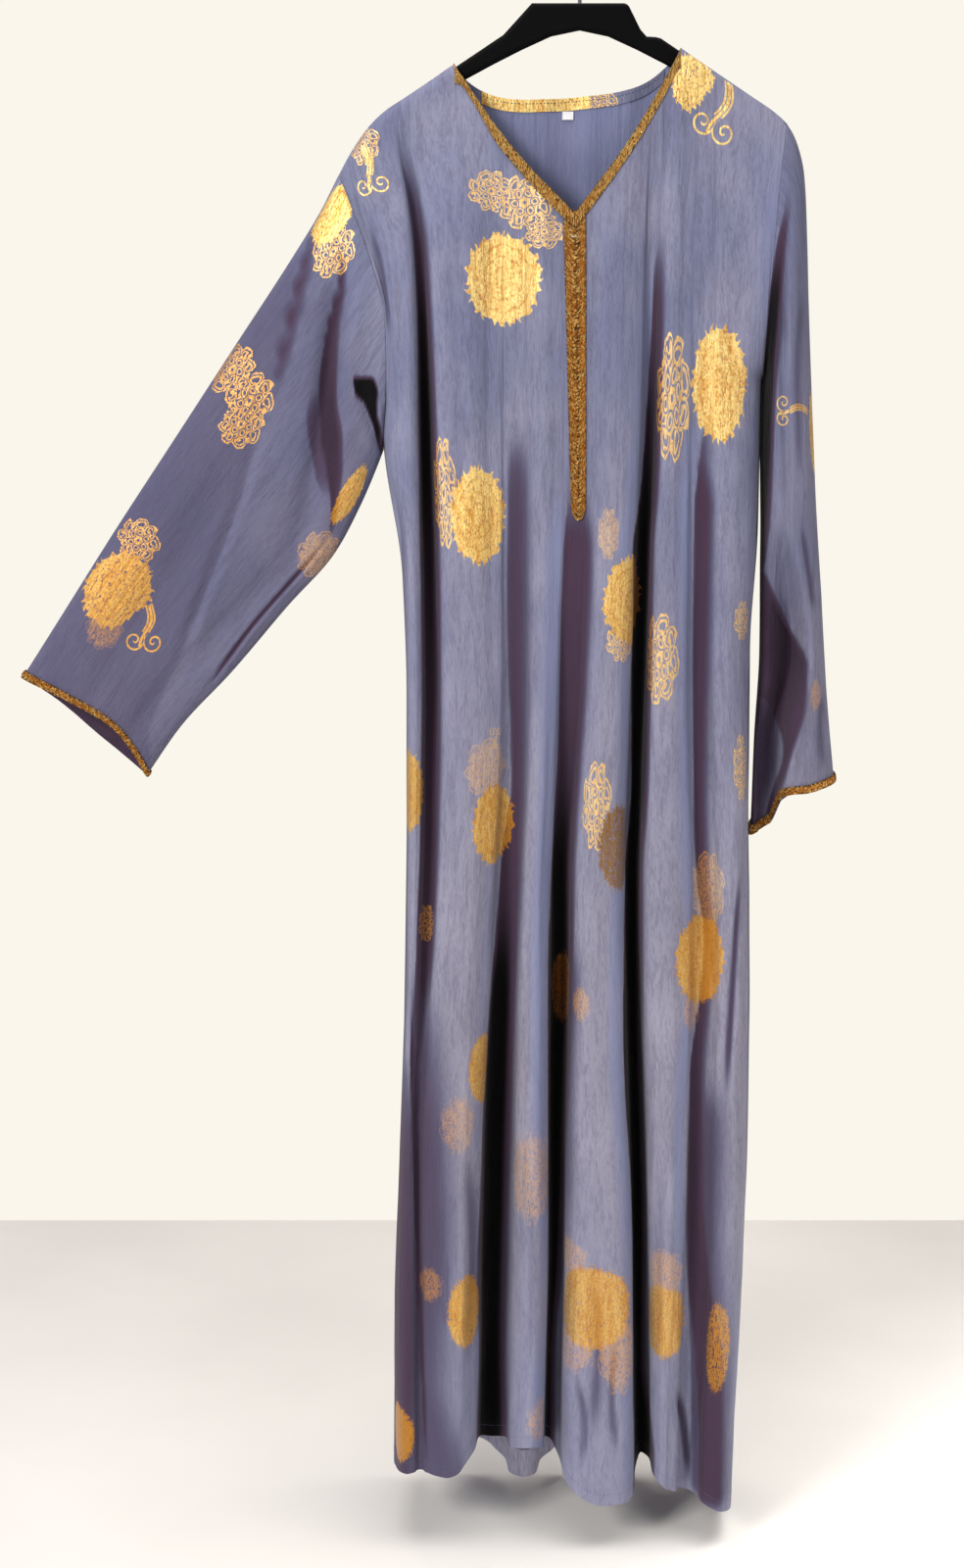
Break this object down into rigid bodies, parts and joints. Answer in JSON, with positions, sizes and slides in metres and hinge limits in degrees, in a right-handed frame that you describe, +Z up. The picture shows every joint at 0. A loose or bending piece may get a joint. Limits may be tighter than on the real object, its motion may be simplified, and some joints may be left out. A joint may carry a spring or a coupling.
{
  "type": "hoodless djellaba on a hanger",
  "caption": "Long V-necked robe of crinkled crepe with braid down its front slit, hanging on a moulded hanger with one sleeve held out.",
  "frame": {"origin": "the inside top of the hanger's hook, where it rests on a rail", "axes": "+Z up along the hook's shank, the front of the robe faces -Y, +X towards the wearer's left sleeve"},
  "size_m": [0.8375, 0.1837, 1.6057],
  "materials": {
    "lilac_crepe": "crinkled crepe with a gold foil print",
    "gold_braid": "braid of metallic thread",
    "white_tape": "plain woven tape",
    "black_plastic": "matt black moulding",
    "chromed_wire": "polished"
  },
  "bodies": {
    "root": {"front_panel": "lilac_crepe", "back_panel": "lilac_crepe", "right_sleeve": "lilac_crepe", "left_sleeve": "lilac_crepe", "back_neck_facing": "lilac_crepe", "neck_trim_right": "gold_braid", "neck_trim_left": "gold_braid", "placket_trim": "gold_braid", "cuff_trim_right": "gold_braid", "cuff_trim_left": "gold_braid", "size_tab": "white_tape", "hanger_body": "black_plastic", "hanger_hook": "chromed_wire"}
  },
  "joints": []
}
